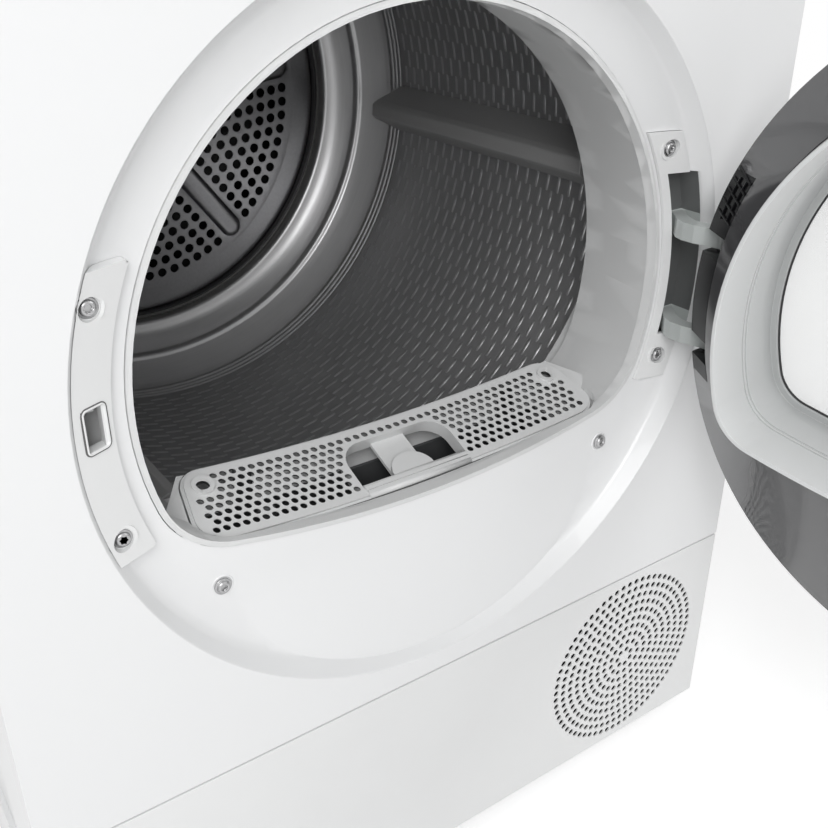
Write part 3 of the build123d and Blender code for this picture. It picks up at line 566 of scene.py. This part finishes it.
# The basket is painted near black: painted shade seen through the hand hold.
basket_painted_shade = moulding("slate_moulding", (0.06, 0.062, 0.064), 0.5)
dress(basket_painted_shade, "filter_basket")
FILTER_BOW = 1.1
FILTER_SLOPE = Matrix.Rotation(math.radians(22), 3, "X")
FILTER_AT = (0, -0.265, 0.340)
SEAM_STEPS, SEAM_STEP, SEAM_END = 67, 0.005, 0.165
SEAM_CORNERS = ((-3.3, -3), (-2.62, -3), (-2.62, -0.7), (-3.3, -0.7))
seam = bmesh.new()
rounds = []
for k in range(SEAM_STEPS):
    x = SEAM_STEP * k - SEAM_END
    bow = FILTER_BOW - math.sqrt(FILTER_BOW ** 2 - x ** 2)
    rounds.append([seam.verts.new((x, v / 1000, bow + w / 1000)) for v, w in SEAM_CORNERS])
for one, two in zip(rounds, rounds[1:]):
    for k in range(len(one)):
        seam.faces.new((one[k - 1], one[k], two[k], two[k - 1]))
for corners in (rounds[0], rounds[-1]):
    seam.faces.new(corners)
bmesh.ops.recalc_face_normals(seam, faces=seam.faces)
bmesh.ops.rotate(seam, verts=seam.verts, cent=(0, 0, 0), matrix=FILTER_SLOPE)
bmesh.ops.translate(seam, verts=seam.verts, vec=FILTER_AT)
# The strip round the filter is dark grey: painted shade in the groove between filter and sill.
painted_gap_shade = moulding("painted_gap_shade", (0.10, 0.10, 0.10), 0.6)
place("filter_seam", seam, painted_gap_shade, "cabinet")
gauze, gauze_shader, gauze_spot = finish("woven_gauze", (0.10, 0.10, 0.10), 0.6)
warp, weft = [gauze_spot.node("ShaderNodeTexWave", {"bands_direction": way},
                              {"Vector": gauze_spot, "Scale": 420.0}) for way in ("X", "Z")]
weave = warp * weft
feed(gauze_spot, gauze_shader, "Base Color",
     shades(gauze_spot, weave, (0.03, 0.03, 0.03), (0.16, 0.16, 0.158)))
relief(gauze_spot, gauze_shader, weave, 0.5, 0.0003)
dress(gauze, "filter_mesh")

# The front panel: one pressed and enamelled sheet with the round recess for the door, the
# ramp below it and the opening. The white latch and hinge covers are screwed into the recess.
white = moulding("white_moulding", (0.82, 0.825, 0.825), 0.34)
CUT_BACK, CUT_NEAR, RECESS_FLOOR = 0.0048, 0.00005, -0.281


def wider_cut(shape):
    """The cut edge of the sheet stands back a little from the lip inside it."""
    for vert in shape.verts:
        away, inset = by_opening(vert.co)
        if abs(inset) < CUT_NEAR and vert.co.y > RECESS_FLOOR:
            vert.co += away * CUT_BACK
            vert.co.x += LIP_SHIFT


soften("front_panel", enamel, reshape=wider_cut)


def round_corners(shape):
    """The two corners of the cover beside the opening are rounded."""
    bmesh.ops.dissolve_limit(shape, angle_limit=FLAT, verts=shape.verts, edges=shape.edges)
    corners = [edge for edge in shape.edges
               if edge.verts[0].co.x > -0.21 and edge.calc_length() > 0.001
               and abs((edge.verts[0].co - edge.verts[1].co).y) > edge.calc_length() * 0.98]
    bmesh.ops.bevel(shape, geom=corners, offset=0.0036, offset_type="OFFSET", affect="EDGES",
                    segments=5, profile=0.5, material=-1)


soften("latch_cover", white, reshape=round_corners)
soften("hinge_plate", white)
soften("latch_tongue", grey, 0.4)
COLLAR = ((-7.4, -13.8), (10, -13.8), (10, 13.8), (-7.4, 13.8))
COLLAR_STEPS = ((0.0002, 0.0012, 1), (0.0006, 0, 1), (0.0004, 0.0004, 0), (0.0006, 0, 0),
                (0.0004, -0.0012, 0))
COVER_SLOPE = Matrix.Rotation(math.radians(23.7), 3, "Z")
COLLAR_AT = (-0.225, -0.2918, 0.4585)


def widest(shape):
    """The face with the most corners."""
    return max(shape.faces, key=lambda face: len(face.verts))


collar = bmesh.new()
ends = [collar.verts.new((x / 1000, 0, z / 1000)) for x, z in COLLAR]
collar.faces.new(ends)
bmesh.ops.bevel(collar, geom=ends, offset=0.0038, offset_type="OFFSET", affect="VERTICES",
                segments=6, profile=0.5, material=-1)
# The outer wall and first ring of the collar take the dark finish: painted shade in the gap round
# the slot.
for inset, rise, gap_shade_ring in COLLAR_STEPS:
    ring = bmesh.ops.inset_region(collar, faces=[widest(collar)], thickness=inset,
                                  use_boundary=True, use_even_offset=True)["faces"]
    for face in ring:
        face.material_index = gap_shade_ring
    bmesh.ops.translate(collar, verts=widest(collar).verts, vec=(0, -rise, 0))
bmesh.ops.delete(collar, geom=[widest(collar)], context="FACES")
bmesh.ops.recalc_face_normals(collar, faces=collar.faces)
bmesh.ops.rotate(collar, verts=collar.verts, cent=(0, 0, 0), matrix=COVER_SLOPE)
bmesh.ops.translate(collar, verts=collar.verts, vec=COLLAR_AT)
latch_collar = place("latch_collar", collar, white, "cabinet")
latch_collar.data.materials.append(painted_gap_shade)

# The front screws hold the covers and the panel. Those in the floor of the recess sit in rings
# that are pressed into the sheet round each hole.
FRONT_SCREWS = ((-218, 9.5, 513), (-219, 9.5, 379), (209.5, 17.6, 377), (197.5, 17.6, 536),
                (-160, 20.9, 314), (160, 20.9, 314))
heads = bmesh.new()
for turn, (x, seat, z) in enumerate(FRONT_SCREWS):
    screw_head(heads, x, seat, z, -1, turn)
front_heads = place("front_screw_heads", heads, screw_metal, "cabinet")
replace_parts(front_heads, "front_screws")
RING_HIGH, RING_R, RING_Y = 0.324, 0.0069, -0.2782
rings = bmesh.new()
for x in (-0.160, 0.160):
    swage = bmesh.ops.create_circle(rings, cap_ends=False, radius=0.0008, segments=10)["verts"]
    bmesh.ops.translate(rings, verts=swage, vec=(x + RING_R, RING_Y, RING_HIGH))
    edges = list({edge for vert in swage for edge in vert.link_edges})
    bmesh.ops.spin(rings, geom=swage + edges, cent=(x, 0, RING_HIGH), axis=(0, 1, 0),
                   dvec=(0, 0, 0), angle=math.tau, steps=40, use_merge=True, use_duplicate=False)
bmesh.ops.remove_doubles(rings, verts=rings.verts, dist=1e-6)
bmesh.ops.recalc_face_normals(rings, faces=rings.faces)
place("pressed_rings", rings, enamel, "cabinet")

# The hinge: one satin grey casting behind the hinge plate. Its arc-shaped pocket is painted dark as
# shade, and the two cranked arms that come out of it carry the pin.
cast_grey, cast_shader, cast_spot = finish("cast_grey", (0.50, 0.53, 0.52), 0.32, Coat_Weight=0.2)
ARM_RISE, ARM_REACH, POCKET_FRONT = 0.038, 0.0072, -0.2925
_, inward, height = cast_spot.axes()
# Away from the arms and deeper than the front of the pocket the grey is painted dark: painted shade
# in the pocket.
from_middle = cast_spot.sum("ABSOLUTE", height - OPENING_HIGH)
from_arm = cast_spot.sum("ABSOLUTE", from_middle - ARM_RISE)
off_arm = cast_spot.sum("GREATER_THAN", from_arm, ARM_REACH)
pocket = off_arm * cast_spot.sum("GREATER_THAN", inward, POCKET_FRONT)
feed(cast_spot, cast_shader, "Base Color",
     shades(cast_spot, pocket, (0.52, 0.55, 0.54), (0.15, 0.155, 0.155)))
feed(cast_spot, cast_shader, "Roughness", cloud(cast_spot, 40.0) * 0.12 + 0.26)
relief(cast_spot, cast_shader, cloud(cast_spot, 700.0), 0.12, 0.0001)
soften("hinge_bracket", cast_grey, 0.7, 3)

# The door: a dark glossy ring with a clear bowed outer pane, and on its back a light grey liner
# that reaches into the opening and holds the inner pane; the liner's grey is painted darker in part
# as shade. The hinge block in its rim is black.
dark = moulding("dark_gloss", (0.075, 0.075, 0.078), 0.1, 60.0, 0.00001,
                Coat_Weight=1.0, Coat_Roughness=0.07)
gloss_black = moulding("gloss_black", (0.008, 0.008, 0.009), 0.22, Specular_IOR_Level=0.22)
HINGE = Vector((0.216, -0.324, 0))
SWING = Matrix.Rotation(math.radians(100), 3, "Z")
inside = SWING @ Vector((0, 1, 0))
SEAT, GLUE = -0.026, 0.0004


def bed_pane(shape):
    """The seat of the outer pane lies a film of glue behind the glass."""
    for vert in shape.verts:
        if abs((vert.co - HINGE).dot(inside) - SEAT) < 0.0001:
            vert.co += inside * GLUE


door_frame = soften("door_frame", dark, 0.8, reshape=bed_pane)
for face in door_frame.data.polygons:
    face.use_smooth = abs(face.normal.dot(inside)) < 0.9995
soften("door_hinge_pocket", gloss_black, 0.6)
liner_painted_shade, liner_shader, liner_spot = finish("liner_painted_shade", (0.62, 0.63, 0.63), 0.2)
# The liner's grey runs from dark to light along the door's depth: painted shade.
LINER_SHADE_FROM, LINER_SHADE_RISE = 0.1744, 12.2
liner_x, liner_y, _ = liner_spot.axes()
reach = (liner_x * inside.x + liner_y * inside.y + LINER_SHADE_FROM) * LINER_SHADE_RISE
feed(liner_spot, liner_shader, "Base Color",
     shades(liner_spot, reach, (0.44, 0.45, 0.45), (0.70, 0.71, 0.71)))
feed(liner_spot, liner_shader, "Roughness", cloud(liner_spot, 30.0) * 0.1 + 0.16)
soften("door_liner", liner_painted_shade, 0.6)
dress(rubber, "door_seal")
soften("door_hook", grey, 0.3)
DOOR_MIDDLE = (0, 0, OPENING_HIGH)
RIBS = [(210.4, 211.6, 15.6, 8.6), (217.4, 218.6, 15.2, 8.2)] + [
    (206.6, 224.5, 15.8 + 2.1 * k, 0.32) for k in range(5)]
RIB_FOOT, RIB_TOP = -0.6, 1.5
ribs = bmesh.new()
for r0, r1, start, sweep in RIBS:
    corners = [(r, -12 + (226 - r) * 0.8095 + lift) for r, lift in
               ((r0, RIB_FOOT), (r1, RIB_FOOT), (r1, RIB_TOP), (r0, RIB_TOP))]
    loop = [ribs.verts.new((r / 1000, (y - HALF_DEPTH) / 1000, OPENING_HIGH)) for r, y in corners]
    ribs.faces.new(loop)
    edges = [edge for edge in ribs.edges if set(edge.verts) <= set(loop)]
    bmesh.ops.rotate(ribs, verts=loop, cent=DOOR_MIDDLE,
                     matrix=Matrix.Rotation(-math.radians(start), 3, "Y"))
    cap = [face for face in ribs.faces if set(face.verts) == set(loop)]
    bmesh.ops.spin(ribs, geom=loop + edges + cap, cent=DOOR_MIDDLE, axis=(0, 1, 0),
                   dvec=(0, 0, 0), angle=-math.radians(sweep), steps=max(1, round(sweep)),
                   use_merge=False, use_duplicate=False)
bmesh.ops.recalc_face_normals(ribs, faces=ribs.faces)
bmesh.ops.rotate(ribs, verts=ribs.verts, cent=HINGE, matrix=SWING)
place("hinge_block_ribs", ribs, gloss_black, "door")

bead = bmesh.new()
bead.from_mesh(frame["nodes"]["door_inner_pane"].data)
bmesh.ops.remove_doubles(bead, verts=bead.verts, dist=WELD)
bmesh.ops.dissolve_limit(bead, angle_limit=FLAT, verts=bead.verts, edges=bead.edges)
bead.normal_update()
bmesh.ops.delete(bead, geom=[face for face in bead.faces if face.normal.dot(inside) < 0.99],
                 context="FACES")
UNDER_LINER, BEAD_WIDE = 0.0092, 0.0012
for width in (UNDER_LINER, BEAD_WIDE):
    ring = bmesh.ops.inset_region(bead, faces=bead.faces[:], thickness=width, use_boundary=True,
                                  use_even_offset=True)["faces"]
    drop = ring if width == UNDER_LINER else [face for face in bead.faces if face not in ring]
    bmesh.ops.delete(bead, geom=drop, context="FACES")
bmesh.ops.solidify(bead, geom=bead.faces[:], thickness=-0.0014)
bmesh.ops.recalc_face_normals(bead, faces=bead.faces)
place("window_bead", bead, rubber, "door")
pane, pane_shader, pane_spot = finish("clear_pane", (0.97, 0.98, 0.98), 0.03, Alpha=0.14)
feed(pane_spot, pane_shader, "Roughness", cloud(pane_spot, 5.0) * 0.03 + 0.02)
dress(pane, "door_outer_pane", "door_inner_pane")

# The plinth: a white moulded panel clipped in below, with rings of small holes for the cooling
# air and a dark foam sheet behind them.
soften("plinth_panel", white, 0.8, choose=outside_holes)
UPRIGHT = Matrix.Rotation(math.radians(90), 3, "X")
GRILLE_AT = (0.196, -0.2935, 0.1046)
FOAM_R, FOAM_THICK = 0.0865, 0.004
foam = bmesh.new()
bmesh.ops.create_circle(foam, cap_ends=True, radius=FOAM_R, segments=96)
bmesh.ops.rotate(foam, verts=foam.verts, cent=(0, 0, 0), matrix=UPRIGHT)
bmesh.ops.translate(foam, verts=foam.verts, vec=GRILLE_AT)
raised = bmesh.ops.extrude_face_region(foam, geom=foam.faces[:])["geom"]
bmesh.ops.translate(foam, verts=[item for item in raised if isinstance(item, bmesh.types.BMVert)],
                    vec=(0, FOAM_THICK, 0))
bmesh.ops.recalc_face_normals(foam, faces=foam.faces)
place("grille_foam", foam, rubber, "cabinet")

# The controls: a white moulded fascia with a turned knob, four keys, a smoked display and the
# front of the condensate container, under the worktop.
soften("control_panel", white, 0.6)
soften("worktop", white, 0.6)
soften("tank_front", white, 0.8, 3)
soften("program_knob", white)
for node in ("power_key", "start_key", "option_key_left", "option_key_right"):
    soften(node, white, 0.6, 3)
ink = moulding("grey_ink", (0.20, 0.20, 0.205), 0.5)
KNOB_X, KNOB_HIGH, DIAL_R, TICKS = -0.02, 0.772, 0.0352, 16
DOTS = ((-0.098, 0.783), (0.258, 0.783), (0.112, 0.7495), (0.178, 0.7495))
ticks = bmesh.new()
bmesh.ops.create_cube(ticks, size=1)
bmesh.ops.scale(ticks, verts=ticks.verts, vec=(0.0009, 0.0004, 0.0042))
bmesh.ops.translate(ticks, verts=ticks.verts, vec=(KNOB_X, -0.3021, KNOB_HIGH + DIAL_R))
bmesh.ops.spin(ticks, geom=ticks.verts[:] + ticks.edges[:] + ticks.faces[:],
               cent=(KNOB_X, 0, KNOB_HIGH), axis=(0, 1, 0), dvec=(0, 0, 0),
               angle=math.tau * (TICKS - 1) / TICKS, steps=TICKS - 1, use_merge=False,
               use_duplicate=True)
for x, z in DOTS:
    dot = bmesh.ops.create_circle(ticks, cap_ends=True, radius=0.0013, segments=20)["verts"]
    bmesh.ops.rotate(ticks, verts=dot, cent=(0, 0, 0), matrix=UPRIGHT)
    bmesh.ops.translate(ticks, verts=dot, vec=(x, -0.3022, z))
place("dial_marks", ticks, ink, "cabinet")
smoked = moulding("smoked_lens", (0.012, 0.012, 0.014), 0.1, 40.0, 0.00003, Coat_Weight=0.6)
soften("display_window", smoked, 0.4)
